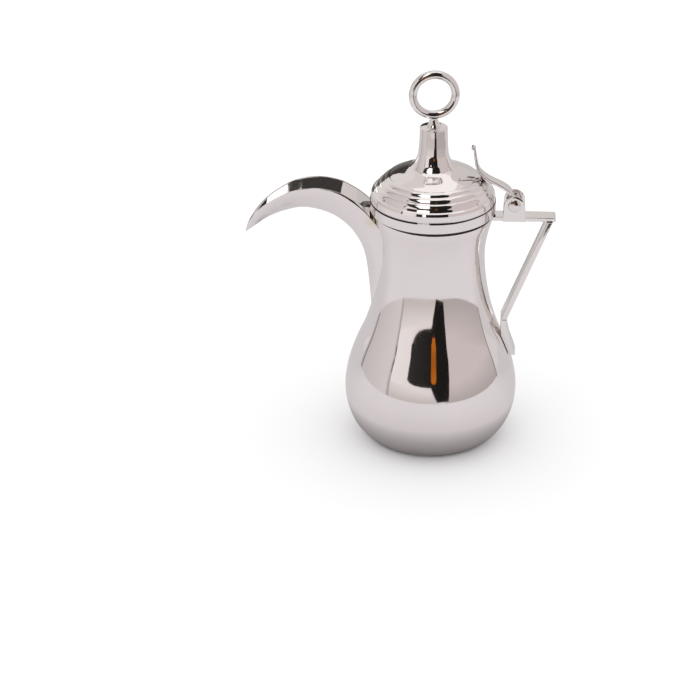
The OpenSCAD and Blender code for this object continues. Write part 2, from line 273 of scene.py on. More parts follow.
def silver(name, tone=(0.91, 0.88, 0.87), tone2=(0.885, 0.855, 0.845), rough=(0.03, 0.075), ripple=0.25, ripple_scale=38.0,
           brush=0.0, tarnish=None):
    """Polished silver plate: a metal with faint colour drift, polish marks in its roughness and a slight ripple of the sheet."""
    m = bpy.data.materials.new(name)
    m.use_nodes = True
    nt = m.node_tree
    bsdf = nt.nodes["Principled BSDF"]
    bsdf.inputs["Metallic"].default_value = 1.0
    tc = node(nt, "ShaderNodeTexCoord", -1400, 0)
    # colour: slow drift between two tones of plate
    n1 = node(nt, "ShaderNodeTexNoise", -1100, 250)
    n1.inputs["Scale"].default_value = 22
    n1.inputs["Detail"].default_value = 3
    nt.links.new(tc.outputs["Object"], n1.inputs["Vector"])
    ramp = node(nt, "ShaderNodeValToRGB", -850, 250)
    ramp.color_ramp.elements[0].position = 0.35
    ramp.color_ramp.elements[0].color = (*tone2, 1)
    ramp.color_ramp.elements[1].position = 0.65
    ramp.color_ramp.elements[1].color = (*tone, 1)
    nt.links.new(n1.outputs["Fac"], ramp.inputs["Fac"])
    colour = ramp.outputs["Color"]
    if tarnish:
        # warm tint gathered round soldered joints: list of (centre in metres, radius in metres)
        for k, (c, r) in enumerate(tarnish):
            dist = node(nt, "ShaderNodeVectorMath", -1100, -400 - 200 * k)
            dist.operation = "DISTANCE"
            nt.links.new(tc.outputs["Object"], dist.inputs[0])
            dist.inputs[1].default_value = c
            mr = node(nt, "ShaderNodeMapRange", -900, -400 - 200 * k)
            mr.inputs["From Min"].default_value = r * 0.25
            mr.inputs["From Max"].default_value = r
            mr.inputs["To Min"].default_value = 0.75
            mr.inputs["To Max"].default_value = 0.0
            mr.interpolation_type = "SMOOTHSTEP"
            nt.links.new(dist.outputs["Value"], mr.inputs["Value"])
            mix = node(nt, "ShaderNodeMix", -600, 100 - 120 * k)
            mix.data_type = "RGBA"
            mix.inputs[7].default_value = (0.80, 0.72, 0.52, 1)
            nt.links.new(mr.outputs["Result"], mix.inputs[0])
            nt.links.new(colour, mix.inputs[6])
            colour = mix.outputs[2]
    nt.links.new(colour, bsdf.inputs["Base Color"])
    # roughness: polishing marks, fine and slightly streaked
    n2 = node(nt, "ShaderNodeTexNoise", -1100, -50)
    n2.inputs["Scale"].default_value = 160
    n2.inputs["Detail"].default_value = 6
    n2.inputs["Roughness"].default_value = 0.65
    mp = node(nt, "ShaderNodeMapping", -1250, -50)
    mp.inputs["Scale"].default_value = (1, 1, 0.35)
    nt.links.new(tc.outputs["Object"], mp.inputs["Vector"])
    nt.links.new(mp.outputs["Vector"], n2.inputs["Vector"])
    mr = node(nt, "ShaderNodeMapRange", -850, -50)
    mr.inputs["From Min"].default_value = 0.3
    mr.inputs["From Max"].default_value = 0.7
    mr.inputs["To Min"].default_value = rough[0]
    mr.inputs["To Max"].default_value = rough[1]
    nt.links.new(n2.outputs["Fac"], mr.inputs["Value"])
    nt.links.new(mr.outputs["Result"], bsdf.inputs["Roughness"])
    # ripple: the sheet is never quite true, and fine hairlines from the mop
    n3 = node(nt, "ShaderNodeTexNoise", -1100, -250)
    n3.inputs["Scale"].default_value = ripple_scale
    n3.inputs["Detail"].default_value = 1.5
    nt.links.new(tc.outputs["Object"], n3.inputs["Vector"])
    b1 = node(nt, "ShaderNodeBump", -500, -250)
    b1.inputs["Strength"].default_value = ripple
    b1.inputs["Distance"].default_value = 0.0004
    nt.links.new(n3.outputs["Fac"], b1.inputs["Height"])
    n4 = node(nt, "ShaderNodeTexNoise", -1100, -450)
    n4.inputs["Scale"].default_value = 900
    n4.inputs["Detail"].default_value = 2
    mp4 = node(nt, "ShaderNodeMapping", -1250, -450)
    mp4.inputs["Scale"].default_value = (1, 1, 0.08)
    nt.links.new(tc.outputs["Object"], mp4.inputs["Vector"])
    nt.links.new(mp4.outputs["Vector"], n4.inputs["Vector"])
    b2 = node(nt, "ShaderNodeBump", -300, -300)
    b2.inputs["Strength"].default_value = 0.02 + brush
    b2.inputs["Distance"].default_value = 0.00005
    nt.links.new(n4.outputs["Fac"], b2.inputs["Height"])
    nt.links.new(b1.outputs["Normal"], b2.inputs["Normal"])
    nt.links.new(b2.outputs["Normal"], bsdf.inputs["Normal"])
    return m


M_BODY = silver("silver_body", ripple=0.10)
M_SPOUT = silver("silver_spout", ripple=0.22, ripple_scale=45,
                 tarnish=[((-0.0425, -0.0125, 0.1755), 0.0075), ((-0.0425, 0.0125, 0.1755), 0.0075), ((-0.0445, 0.0, 0.1035), 0.006)])
M_LID = silver("silver_lid", ripple=0.10, ripple_scale=60)
M_CAST = silver("silver_cast", tone=(0.92, 0.90, 0.885), tone2=(0.88, 0.86, 0.845), rough=(0.06, 0.13), ripple=0.30, ripple_scale=120)
# a near-black copy of the silver: painted shade for the dark gap lines at the collar and the lid's rim
M_GAP_SHADE = silver("silver_painted_gap_shade", tone=(0.05, 0.045, 0.04), tone2=(0.025, 0.022, 0.02), rough=(0.35, 0.5), ripple=0.3, ripple_scale=200)
M_INNER = silver("silver_inner", tone=(0.84, 0.82, 0.80), tone2=(0.77, 0.75, 0.73), rough=(0.16, 0.30), ripple=0.3, ripple_scale=70)
M_HARD = silver("silver_hardware", tone=(0.90, 0.88, 0.865), tone2=(0.84, 0.82, 0.80), rough=(0.06, 0.14), ripple=0.2, ripple_scale=150)


def paint_gap_shade(o, pick):
    """Painted shade: the faces that pick chooses by radius, height and compass angle from the front get the
    near-black material.
    """
    o.data.materials.append(M_GAP_SHADE)
    for p in o.data.polygons:
        c = p.center / MM
        if pick(math.hypot(c.x, c.y), c.z, math.degrees(math.atan2(c.x, -c.y))):
            p.material_index = 1


def dress(o, mat, body, slot, *nodes):
    o.data.materials.clear()
    o.data.materials.append(mat)
    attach(o, body)
    if nodes:
        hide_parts(*nodes)
    return o


# ------------------------------------------------------------------ body
bowl_in = beside(bowl_line, SHEET)
bowl = lathe("bowl", [np.array([BASE_R, 0.0])] + bowl_line + [np.array([bowl_in[-1][0], JOINT_Z])]
             + [p for p in bowl_in if SHEET + 0.05 < p[1] < JOINT_Z - 0.3][::-1] + [np.array([BASE_R, SHEET])], 320)
dress(bowl, M_BODY, "pot", "silver_polished", "bowl_shell")

neck_z, neck_rr = [p[1] for p in neck_line], [p[0] for p in neck_line]
neck_line = ([p for p in neck_line if p[1] < 176.4] + [np.array([np.interp(z, neck_z, neck_rr), z]) for z in np.arange(176.5, 180.6, 0.15)]
             + [p for p in neck_line if p[1] > 180.7])
neck_in = beside(neck_line, SHEET)
neck_out = neck_line[:-1] + round_corner(neck_line[-2], neck_line[-1], (NECK_R - SHEET, MOUTH_Z), 0.4)
neck = lathe("neck", neck_out + [np.array([NECK_R - SHEET, MOUTH_Z])]
             + [p for p in neck_in if JOINT_Z + 0.3 < p[1] < MOUTH_Z - 4][::-1] + [np.array([neck_in[0][0], JOINT_Z])], 320)
# strainer holes
holes_v, holes_f = [], []
for row in range(7):
    z = 122 + 7 * row
    n = 1 if row < 2 else (2 if row < 4 else 3)
    for k in range(n):
        y = (k - (n - 1) / 2) * 7
        base = len(holes_v)
        for x in (-50, -34):
            holes_v += [(x, y + 1.6 * math.cos(2 * math.pi * j / 24), z + 1.6 * math.sin(2 * math.pi * j / 24)) for j in range(24)]
        holes_f += [(base + j, base + (j + 1) % 24, base + 24 + (j + 1) % 24, base + 24 + j) for j in range(24)]
        holes_f += [tuple(base + 23 - j for j in range(24)), tuple(base + 24 + j for j in range(24))]
cutter = add("strainer_cutter", holes_v, holes_f)
mod = neck.modifiers.new("strainer", "BOOLEAN")
mod.operation = "DIFFERENCE"
mod.solver = "EXACT"
mod.object = cutter
dg = bpy.context.evaluated_depsgraph_get()
cut = bpy.data.meshes.new_from_object(neck.evaluated_get(dg))
neck.modifiers.clear()
neck.data = cut
finish_mesh(cut, 35)
bpy.data.objects.remove(cutter)
dress(neck, M_BODY, "pot", "silver_polished", "neck_shell")
z0 = MOUTH_Z - COLLAR_H


def painted_line_depth(az):
    """Height of the painted shade line under the collar; it is drawn thinner towards the spout."""
    t = min(1.0, max(0.0, (az + 65) / 70))
    return 0.25 + 1.4 * t * t * (3 - 2 * t) if az < 110 else 0.5


# painted shade: a dark line on the neck just under the collar's edge
paint_gap_shade(neck, lambda r, z, az: r > 42.5 and z0 - 0.85 - painted_line_depth(az) < z < 180.4)

base_plate = lathe("base_plate_disc", [(0, 0)] + rounded([(BASE_R, 0), (BASE_R, SHEET)], [0, 0]) + [(0, SHEET)], 128)
dress(base_plate, M_INNER, "pot", "silver_inner", "base_plate")

band = rounded([(NECK_R, z0), (COLLAR_R, z0), (COLLAR_R, MOUTH_Z), (NECK_R, MOUTH_Z)], [0, 0.35, 0.5, 0], 6)
low = max(i for i, q in enumerate(band) if q[1] < z0 + 0.4)
band = (band[:low + 1] + [np.array([COLLAR_R, z0 + 0.4 + 0.08 * k]) for k in range(1, 8)]
        + [np.array([COLLAR_R, MOUTH_Z - 1.3 + 0.1 * k]) for k in range(8)] + band[low + 1:])
collar = lathe("collar", band, 320)
dress(collar, M_BODY, "pot", "silver_polished", "collar_band")
# painted shade on the collar's lowest edge, and along its top edge at the gap under the lid
paint_gap_shade(collar, lambda r, z, az: z < z0 + 0.3 or (z > MOUTH_Z - (0.85 - 0.5 * min(1.0, max(0.0, (az - 20) / 25))) and not -12 < az < -1.5))

# ------------------------------------------------------------------ spout
TOP = [[-136.2, 0.6, 159.6], [-134.6, 1.7, 165.4], [-131.6, 3.4, 171], [-127.8, 5.2, 176.6], [-122.4, 7, 182.4],
       [-113, 9, 189.6], [-100.5, 10.4, 196.2], [-84.5, 11.5, 199.1], [-69, 12, 196.8], [-57.6, 12.3, 191.2],
       [-48.8, 12.4, 184.6], [-41.8, 12.4, 176.4]]
KEEL = [[-136.4, 0.55, 158.8], [-132.6, 0.55, 161.6], [-128, 0.55, 165.2], [-122.8, 0.55, 169.2], [-116.2, 0.55, 173],
        [-107, 0.55, 176.8], [-94.2, 0.55, 179.6], [-80, 0.55, 177.2], [-67.4, 0.55, 171], [-56, 0.55, 159],
        [-48.6, 0.55, 140.6], [-44.7, 0.55, 103]]
ROOT = [[103, 0.55], [110, 3.2], [118.5, 6.4], [128, 10.2], [138.7, 13.6], [147, 16], [155.7, 18.3], [163, 20],
        [168.5, 20.6], [172, 18.8], [174.5, 15.6], [176.4, 12.4]]
ROOT_LINE = np.array(curve(ROOT, 12))
SP_T, BULGE, REC, CT, S0 = 1.0, 1.7, 0.35, 1.0, 0.385


TOP_END, KEEL_END = at(TOP, 1), at(KEEL, 1)


def on_sheet(a, k, t):
    tt = max(t, 0.0)
    return (a[0] + (k[0] - a[0]) * t, k[1] + (a[1] - k[1]) * (1 - tt ** BULGE), a[2] + (k[2] - a[2]) * t)


def root_y(z):
    return float(np.interp(z, ROOT_LINE[:, 0], ROOT_LINE[:, 1]))


def sheet_pt(s, a, k, t, d):
    """A point of the near sheet: s along the spout, t from its top edge down to the keel, d under its outer face."""
    b, e = on_sheet(a, k, t), on_sheet(TOP_END, KEEL_END, t)
    y0, yr, e0 = max(b[1] - d, 0), max(root_y(e[2]) - d, 0), max(e[1] - d, 0)
    r = -math.sqrt(max(1, (pot_r(e[2]) - 0.15) ** 2 - yr * yr))
    f = s ** 9
    return np.array([b[0] + (r - e[0]) * f, max(y0 + (yr - e0) * f, 0 if d > 0 else 0.3), b[2]])


def spout_side(name, sign):
    SN, TN = 220, 44
    rings = []
    for i in range(SN + 1):
        s = i / SN
        a, k = at(TOP, s), at(KEEL, s)
        L = np.linalg.norm(a - k) + 1e-9
        tb = min(0.3 / L, 0.2)
        ring = []
        for j in range(TN, -1, -1):      # outside, from the keel up to just under the top edge
            t = tb + (1 - tb) * (j / TN) ** 1.4
            ring.append(sheet_pt(s, a, k, t, 0))
        o, n = sheet_pt(s, a, k, 0, 0), sheet_pt(s, a, k, 0, SP_T)
        w = o[1] - n[1]
        up = (a - k) / L
        for y, dz in ((0.03, -0.16), (0.10, -0.07), (0.22, -0.015), (0.38, 0), (0.62, 0), (0.78, -0.015), (0.90, -0.07), (0.97, -0.16)):
            p = o + (n - o) * y
            ring.append(p + np.array([up[0], 0, up[2]]) * dz * min(1, w))
        for j in range(TN + 1):          # inside, back down
            t = tb + (1 - tb) * (j / TN) ** 1.4
            ring.append(sheet_pt(s, a, k, t, SP_T))
        rings.append([(p[0], sign * p[1], p[2]) for p in ring])
    return sweep(name, rings, 40)


for nm, sg, nd in (("spout_sheet_front", -1, "spout_side_front"), ("spout_sheet_back", 1, "spout_side_back")):
    dress(spout_side(nm, sg), M_SPOUT, "pot", "silver_polished", nd)


def cover_pt(s, d, v):
    a, k = at(TOP, s), at(KEEL, s)
    t = d / math.hypot(k[0] - a[0], k[2] - a[2])
    b = on_sheet(a, k, t)
    return np.array([b[0], v * (b[1] - SP_T - 0.03), b[2]])


def cover_end(d, v):
    a, b = 0.8, 1.0
    for _ in range(16):
        c = (a + b) / 2
        p = cover_pt(c, d, v)
        if math.hypot(p[0], p[1]) - pot_r(p[2]) - 0.02 > 0:
            a = c
        else:
            b = c
    return a


vv = [math.sin(math.pi / 2 * k / 8) for k in range(-8, 9)]
CN = 150
rows = []
ends = [[cover_end(d, v) for v in vv] for d in (REC, REC + CT)]
for i in range(CN + 1):
    u = i / CN
    top = [cover_pt(S0 + (ends[0][j] - S0) * u, REC, v) for j, v in enumerate(vv)]
    bot = [cover_pt(S0 + (ends[1][j] - S0) * u, REC + CT, v) for j, v in enumerate(vv)]
    rows.append([tuple(p) for p in top + bot[::-1]])
cover = sweep("spout_cover_strip", rows, 35)
dress(cover, M_SPOUT, "pot", "silver_polished", "spout_cover")

# ------------------------------------------------------------------ handle
BAR_Z, BAR_T, BAR_W, BAR_END = 174, 3.2, 11.7, 89
GRIP_TOP, GRIP_LOW, GRIP_T, GRIP_W = 86.9, (55.3, 95), 4, 15
gdx = GRIP_T / math.cos(math.atan((GRIP_TOP - GRIP_LOW[0]) / (BAR_Z - GRIP_LOW[1])))
bx0 = pot_r(BAR_Z + BAR_T / 2) - 0.35
bar = strap("top_bar", rounded([(bx0, BAR_Z), (BAR_END, BAR_Z), (BAR_END, BAR_Z + BAR_T), (bx0, BAR_Z + BAR_T)], [0, 0.4, 2.2, 0], 8), BAR_W, 0.95, steps=5)
dress(bar, M_CAST, "pot", "silver_polished", "handle_top_bar")
grip = strap("grip_strap", [(GRIP_LOW[0] - gdx, GRIP_LOW[1]), GRIP_LOW, (GRIP_TOP, BAR_Z), (GRIP_TOP - gdx, BAR_Z)], GRIP_W, 0.5)
dress(grip, M_CAST, "pot", "silver_polished", "handle_grip")
inner = [(pot_r(z) - 0.08, z) for z in np.linspace(66.7, 82, 10)]
foot = strap("foot_strap", [(GRIP_LOW[0] - gdx, GRIP_LOW[1]), (51, 89)] + inner[::-1]
             + [(62.2, 66.4), (60.7, 71.2), (57.6, 80), (56.2, 86), GRIP_LOW], GRIP_W, 0.5)
dress(foot, M_CAST, "pot", "silver_polished", "handle_foot")

# ------------------------------------------------------------------ hinge
EAR_Y, EAR_T, EAR_R, HEAD_R = 5.85, 1.25, 7.5, 4.8
ear_poly = [(PIN_X - 8.25, BAR_Z), (PIN_X + 8.25, BAR_Z), (PIN_X + EAR_R, PIN_Z)]
ear_poly += [(PIN_X + EAR_R * math.cos(math.pi * k / 32), PIN_Z + EAR_R * math.sin(math.pi * k / 32)) for k in range(1, 33)]
for nm, sg, nd in (("ear_front", -1, "hinge_ear_front"), ("ear_back", 1, "hinge_ear_back")):
    ear = strap(nm, ear_poly, EAR_T, 0.3, sg * (EAR_Y + EAR_T / 2), hole=(PIN_X, PIN_Z, PIN_R, 32))
    dress(ear, M_CAST, "pot", "silver_polished", nd)


def on_pin(o):
    """Turns a piece made about Z so that it lies along the pin."""
    o.data.transform(Matrix.Translation(Vector((PIN_X, 0, PIN_Z)) * MM) @ Matrix.Rotation(math.pi / 2, 4, "X"))
    return o


y1 = EAR_Y + EAR_T
dome = [(HEAD_R * math.cos(math.radians(a)), 1.5 * math.sin(math.radians(a)) ** 0.85) for a in range(0, 91, 6)]
half = [(PIN_R, 0), (PIN_R, y1)] + [(r, y1 + z) for r, z in dome[:-1]] + [(0, y1 + 1.5)]
outline = [(0, -y1 - 1.5)] + [(r, -y1 - z) for r, z in dome[:-1][::-1]] + [(PIN_R, -y1), (PIN_R, y1)] + [(r, y1 + z) for r, z in dome[:-1]] + [(0, y1 + 1.5)]
pin = on_pin(lathe("pin", outline, 96, 40))
dress(pin, M_HARD, "pot", "silver_hardware", "hinge_pin")
kn = on_pin(lathe("knuckle", rounded([(PIN_R + 0.05, -5.5), (3.6, -5.5), (3.6, 5.5), (PIN_R + 0.05, 5.5)], [0, 0.4, 0.4, 0], 4), 96, 40))
dress(kn, M_HARD, "lid", "silver_hardware", "hinge_knuckle")

# thumb lever: x, width, z, thickness
LW, LT = 10.6, 2.2
LEVER = [[58.3, LW, 189.8, LT], [57, LW, 193.2, LT], [54.6, LW, 196.4, LT], [51.2, LW - 0.2, 199, LT], [46.6, LW - 0.8, 201.6, LT],
         [41.4, LW - 1.6, 204.2, LT], [37, LW - 2.4, 207.3, LT], [33.6, LW - 3.4, 210.7, LT], [31.6, LW - 4.2, 214.6, LT],
         [30.6, LW - 5, 219.4, 2.0], [29.8, LW - 5.6, 225, 1.7], [29.55, LW - 6, 228.6, 1.3]]
line = [at(LEVER, k / 110) for k in range(111)]
c0 = line[-1]
dirn = (line[-1] - line[-2])[[0, 2]]
ang = math.atan2(dirn[1], dirn[0])
R = 0.95
cx, cz = c0[0] + R * math.cos(ang + math.pi / 2), c0[2] + R * math.sin(ang + math.pi / 2)
for k in range(1, 22):
    a = ang - math.pi / 2 + math.radians(300) * k / 21
    line.append(np.array([cx + R * (1 - 0.012 * k) * math.cos(a), c0[1], cz + R * (1 - 0.012 * k) * math.sin(a), 1.3 - 0.02 * k]))
line = np.array(line)
rings = []
for i in range(len(line)):
    a, b = line[max(i - 1, 0)], line[min(i + 1, len(line) - 1)]
    t = np.array([b[0] - a[0], b[2] - a[2]])
    t /= np.linalg.norm(t)
    nrm = np.array([t[1], -t[0]])
    x, w, z, th = line[i]
    hw, ht, rr = w / 2, th / 2, min(0.55, th * 0.4)
    prof = rounded([(-ht, -hw), (ht, -hw), (ht, hw), (-ht, hw)], rr, 4)
    rings.append([(x + nrm[0] * p[0], p[1], z + nrm[1] * p[0]) for p in prof])
lever = sweep("thumb_lever", rings, 45)

DOME = [[45.2, 189.8], [44.9, 191.2], [43.6, 194.1], [41.2, 197.4], [38.4, 200.7], [34.8, 203.9], [30.6, 207.05], [26, 209.5],
        [21, 211.7], [16.5, 213.65], [12, 215.1], [7, 215.6], [1.65, 215.6]]
dome_line = resample(curve(DOME, 40), 0.16)
dome_z = sorted([(p[0], p[1]) for p in dome_line])


def dome_h(x):
    return float(np.interp(x, [p[0] for p in dome_z], [p[1] for p in dome_z]))


lug = strap("lever_lug", [(x, dome_h(x) - 0.12) for x in np.linspace(34.4, 39.4, 8)] + [(41.2, 203.6), (37, 206.6), (33.8, 209.8)], 4.6, 0.3)
# the lug is part of the lever's forging
bm = bmesh.new()
bm.from_mesh(lever.data)
bm.from_mesh(lug.data)
bm.to_mesh(lever.data)
bm.free()
finish_mesh(lever.data, 45)
bpy.data.objects.remove(lug)
dress(lever, M_CAST, "lid", "silver_polished", "lid_lever")

# ------------------------------------------------------------------ lid
RIDGES = [(42.9, 194.2), (40.1, 198.3), (36.7, 202.3), (33.1, 205.3)]
s_of = np.concatenate([[0], np.cumsum([np.linalg.norm(dome_line[i + 1] - dome_line[i]) for i in range(len(dome_line) - 1)])])
ridge_s = [s_of[int(np.argmin([np.hypot(p[0] - r[0], p[1] - r[1]) for p in dome_line]))] for r in RIDGES]
outer = []
for i, p in enumerate(dome_line):
    a, b = dome_line[max(i - 1, 0)], dome_line[min(i + 1, len(dome_line) - 1)]
    v = (b - a) / np.linalg.norm(b - a)
    n = np.array([v[1], -v[0]])
    d = 0
    for s in ridge_s:
        x = (s_of[i] - s) / 2.45
        if abs(x) < 1:
            d = max(d, 0.4 * (1 - abs(x) ** 2.1))
    outer.append(p + n * d)
inner = [p for p in beside(dome_line[::4], SHEET) if p[0] > 2 and p[1] > 197.2]
riser = [(45.45, LID_Z), (44.92, 188.85), (44.87, 193.1), (44.03, 194.9), (42.84, 195.6), tuple(next(q for q in outer if q[1] > 197.0))]
rim = [np.array([41.3, LID_Z])] + round_corner((41.3, LID_Z), riser[0], riser[1], 0.15)
for k, rad in ((1, 0.3), (2, 0.25), (3, 0.25), (4, 0.25)):
    arc = round_corner(riser[k - 1], riser[k], riser[k + 1], rad, 5)
    for end, tip in ((rim[-1], arc[0]), (arc[0], rim[-1])):
        rim.append(end + (tip - end) * 0.1 / np.linalg.norm(tip - end))
    rim += arc
tail = rim[-1] - np.array(riser[5])
rim += [rim[-1] - tail * 0.1 / np.linalg.norm(tail), np.array(riser[5]) + tail * 0.1 / np.linalg.norm(tail)]
dome_outline = (rim + [q for q in outer if q[1] > 197.0] + [np.array([1.65, 215.6 - SHEET])] + inner[::-1]
                + [np.array(q) for q in ((40.5, 195.6), (41.0, 194.2), (41.35, 192.6), (41.5, 190.6), (41.3, 189.7))])
lid = lathe("lid_dome_shell", dome_outline, 240, 50)
dress(lid, M_LID, "lid", "silver_polished", "lid_dome")
# painted shade on the lid's lowest edge, at the gap over the collar
paint_gap_shade(lid, lambda r, z, az: r > 43 and z < LID_Z + 0.12 and not -12 < az < -1.5)
skirt = lathe("lid_skirt_ring", rounded([(41.3, LID_Z - 6), (42.3, LID_Z - 6), (42.3, LID_Z), (41.3, LID_Z)], [0.3, 0.3, 0, 0], 3), 192)
dress(skirt, M_INNER, "lid", "silver_inner", "lid_skirt")

# ------------------------------------------------------------------ finial
SPIRE = [[19.6, 212.36], [18.4, 212.95], [17.2, 213.65], [16.1, 214.45], [15.1, 215.45], [13.9, 216.7], [13.1, 217.9], [12.4, 219.5],
         [11.8, 221.1], [11.27, 222.7], [10.95, 224.6], [10.65, 227.4], [10.36, 231], [10.2, 235], [10.08, 239], [10, 243]]
sp = resample(curve(SPIRE, 30), 0.3)
sp_in = [p for p in beside(sp[::3], 1) if 215.2 < p[1] < 242.6]
spire = lathe("spire", sp + [np.array([9, 243])] + sp_in[::-1] + [np.array([r, dome_h(r) - 0.3]) for r in (15.2, 17, 19.2)], 192)
dress(spire, M_LID, "lid", "silver_polished", "spire_shell")
cap = lathe("spire_top", rounded([(1.6, 243), (10, 243), (10, 244.05), (5.4, 244.7), (1.6, 244.9)], [0, 0, 0.45, 0, 0], 5), 192)
dress(cap, M_LID, "lid", "silver_polished", "spire_cap")

RING_R, BAR_R, RING_Z, RING_TURN = 15.3, 3.0, 268.7, math.radians(8.5)
V, F = [], []
NU, NV = 192, 48
for i in range(NU):
    a = 2 * math.pi * i / NU
    for j in range(NV):
        b = 2 * math.pi * j / NV
        r = RING_R + BAR_R * math.cos(b)
        h, z, d = r * math.cos(a), r * math.sin(a), BAR_R * math.sin(b)
        V.append((h * math.cos(RING_TURN) - d * math.sin(RING_TURN), h * math.sin(RING_TURN) + d * math.cos(RING_TURN), RING_Z + z))
F = [(i * NV + j, ((i + 1) % NU) * NV + j, ((i + 1) % NU) * NV + (j + 1) % NV, i * NV + (j + 1) % NV) for i in range(NU) for j in range(NV)]
ring = add("ring", V, F, 60)
dress(ring, M_CAST, "lid", "silver_polished", "finial_ring")
bell = curve([[5.2, 244.72], [5.2, 245.2], [4.6, 246.0], [3.9, 247.2], [3.3, 248.7], [3.0, 250.2], [3.0, 251.2]], 8)
sock = lathe("ring_bell", [np.array([1.5, 244.9])] + bell + [np.array([0, 251.2]), np.array([0, 248.4]), np.array([1.5, 248.4])], 96)
dress(sock, M_CAST, "lid", "silver_polished", "ring_socket")

# hidden fixings stay the CAD's own, with the hardware finish
for nm in ("finial_tie_rod", "finial_washer", "finial_nut"):
    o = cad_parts[nm]
    o.data.materials.clear()
    o.data.materials.append(M_HARD)

# ------------------------------------------------------------------ studio
# A white table in a pale tent. The tent's walls show only in the polished metal, never to the camera.
def lit(name, colour, colour2=None, axis=0, span=(0, 1)):
    """A softly lit cloth: an even glow, or one that drifts between two tones along an axis."""
    m = bpy.data.materials.new(name)
    m.use_nodes = True
    nt = m.node_tree
    nt.nodes.clear()
    out = node(nt, "ShaderNodeOutputMaterial", 300, 0)
    em = node(nt, "ShaderNodeEmission", 0, 0)
    nt.links.new(em.outputs[0], out.inputs["Surface"])
    em.inputs["Color"].default_value = (*colour, 1)
    if colour2:
        tc = node(nt, "ShaderNodeTexCoord", -900, 0)
        sep = node(nt, "ShaderNodeSeparateXYZ", -700, 0)
        nt.links.new(tc.outputs["Object"], sep.inputs[0])
        mr = node(nt, "ShaderNodeMapRange", -500, 0)
        mr.inputs["From Min"].default_value, mr.inputs["From Max"].default_value = span
        nt.links.new(sep.outputs[axis], mr.inputs["Value"])
        mix = node(nt, "ShaderNodeMix", -250, 0)
        mix.data_type = "RGBA"
        mix.inputs[6].default_value = (*colour, 1)
        mix.inputs[7].default_value = (*colour2, 1)
        nt.links.new(mr.outputs["Result"], mix.inputs[0])
        nt.links.new(mix.outputs[2], em.inputs["Color"])
    return m


def card(name, pts, mat):
    """A flat card of the studio, seen only in reflections."""
    me = bpy.data.meshes.new(name)
    me.from_pydata([tuple(p) for p in pts], [], [tuple(range(len(pts)))])
    me.materials.append(mat)
    o = bpy.data.objects.new(name, me)
    scene.collection.objects.link(o)
    o.visible_camera = o.visible_diffuse = o.visible_shadow = o.visible_transmission = False
    return o


def reach(az):
    """How far the tent's wall stands from the pot, by compass angle from the front."""
    t = min(1.0, abs(az) / 70)
    return 0.665 - 0.065 * t * t * (3 - 2 * t)


def wall(name, az0, az1, z0, z1, mat, inset=0.0):
    """A bent wall of the tent from one compass angle to the other; z0 may be a pair, for a slanting foot."""
    za, zb = z0 if isinstance(z0, tuple) else (z0, z0)
    n = max(2, int(abs(az1 - az0) / 3))
    V, F = [], []
    for k in range(n + 1):
        az = az0 + (az1 - az0) * k / n
        r = reach(az) - inset
        x, y = r * math.sin(math.radians(az)), -r * math.cos(math.radians(az))
        V += [(x, y, za + (zb - za) * k / n), (x, y, z1)]
    F = [(2 * k, 2 * k + 2, 2 * k + 3, 2 * k + 1) for k in range(n)]
    me = bpy.data.meshes.new(name)
    me.from_pydata(V, [], F)
    me.materials.append(mat)
    o = bpy.data.objects.new("card_" + name, me)
    scene.collection.objects.link(o)
    o.visible_camera = o.visible_diffuse = o.visible_shadow = o.visible_transmission = False
    return o


def front(name, pts, mat, step=0.0):
    return card("card_" + name, [(x, FRONT + step, z) for x, z in pts], mat)


FRONT, SIDE, BACK, ROOF, DEEP = -0.555, 1.10, 1.00, 1.50, -0.3
wall("front_left", -54, 20, DEEP, ROOF, lit("cloth_front_left", (0.86, 0.80, 0.785), (0.74, 0.68, 0.675), 0, (-0.5, 0.1)))
wall("front_right", 20, 100, DEEP, ROOF, lit("cloth_front_right", (0.42, 0.38, 0.365), (0.63, 0.555, 0.555), 2, (-0.02, 0.16)))
wall("front_left_low", -53.9, 12, 0.0, 0.12, lit("cloth_front_low", (0.60, 0.545, 0.53), (0.80, 0.75, 0.735), 2, (0.02, 0.12)), 0.002)
wall("left", -107, -54, DEEP, ROOF, lit("cloth_left", (0.72, 0.675, 0.675), (0.57, 0.53, 0.525), 1, (-0.5, 0.2)))
wall("left_seam", -108.4, -106.3, DEEP, ROOF, lit("seam", (0.20, 0.19, 0.18)), 0.004)
wall("left_fold", -111.5, -108.2, DEEP, ROOF, lit("fold_left", (0.52, 0.49, 0.485)), 0.003)
wall("corner_seam", -54.8, -53.9, DEEP, ROOF, lit("seam_corner", (0.27, 0.25, 0.245)), 0.004)
wall("corner_fold", -57.5, -54.6, DEEP, ROOF, lit("fold_corner", (0.50, 0.47, 0.465)), 0.003)
wall("corner_slot", -55.3, -53.9, 0.168, 0.24, lit("slot_corner", (0.015, 0.015, 0.015)), 0.006)
wall("corner_gap", -56.5, -54.5, 0.29, ROOF, lit("gap_corner", (0.02, 0.02, 0.02)), 0.006)
wall("right_seam", 99.5, 101, DEEP, ROOF, lit("seam_right", (0.22, 0.20, 0.19)), 0.004)
dark = lit("dark_opening", (0.012, 0.011, 0.010), (0.035, 0.032, 0.030), 0, (0.1, -0.4))
front("opening", [(0.25, 0.02), (0.31, 0.36), (0.31, 0.45), (0.345, 0.52), (0.345, ROOF), (-0.345, ROOF), (-0.345, 0.56),
                  (-0.29, 0.44), (-0.345, 0.44), (-0.345, 0.37), (-0.385, 0.37), (-0.385, 0.27), (-0.365, 0.225), (-0.335, 0.19), (-0.28, 0.16), (-0.20, 0.14), (-0.10, 0.132),
                  (0.02, 0.128), (0.095, 0.02)], dark, 0.004)
wall("opening_right", 30, 41, (0.51, 0.65), ROOF, dark, 0.012)
wall("opening_right_2", 41, 58, (0.65, 1.25), ROOF, dark, 0.012)
wall("opening_left", -50, -30, (0.66, 0.56), ROOF, dark, 0.012)
wall("opening_left_2", -76, -50, (1.05, 0.66), ROOF, dark, 0.012)


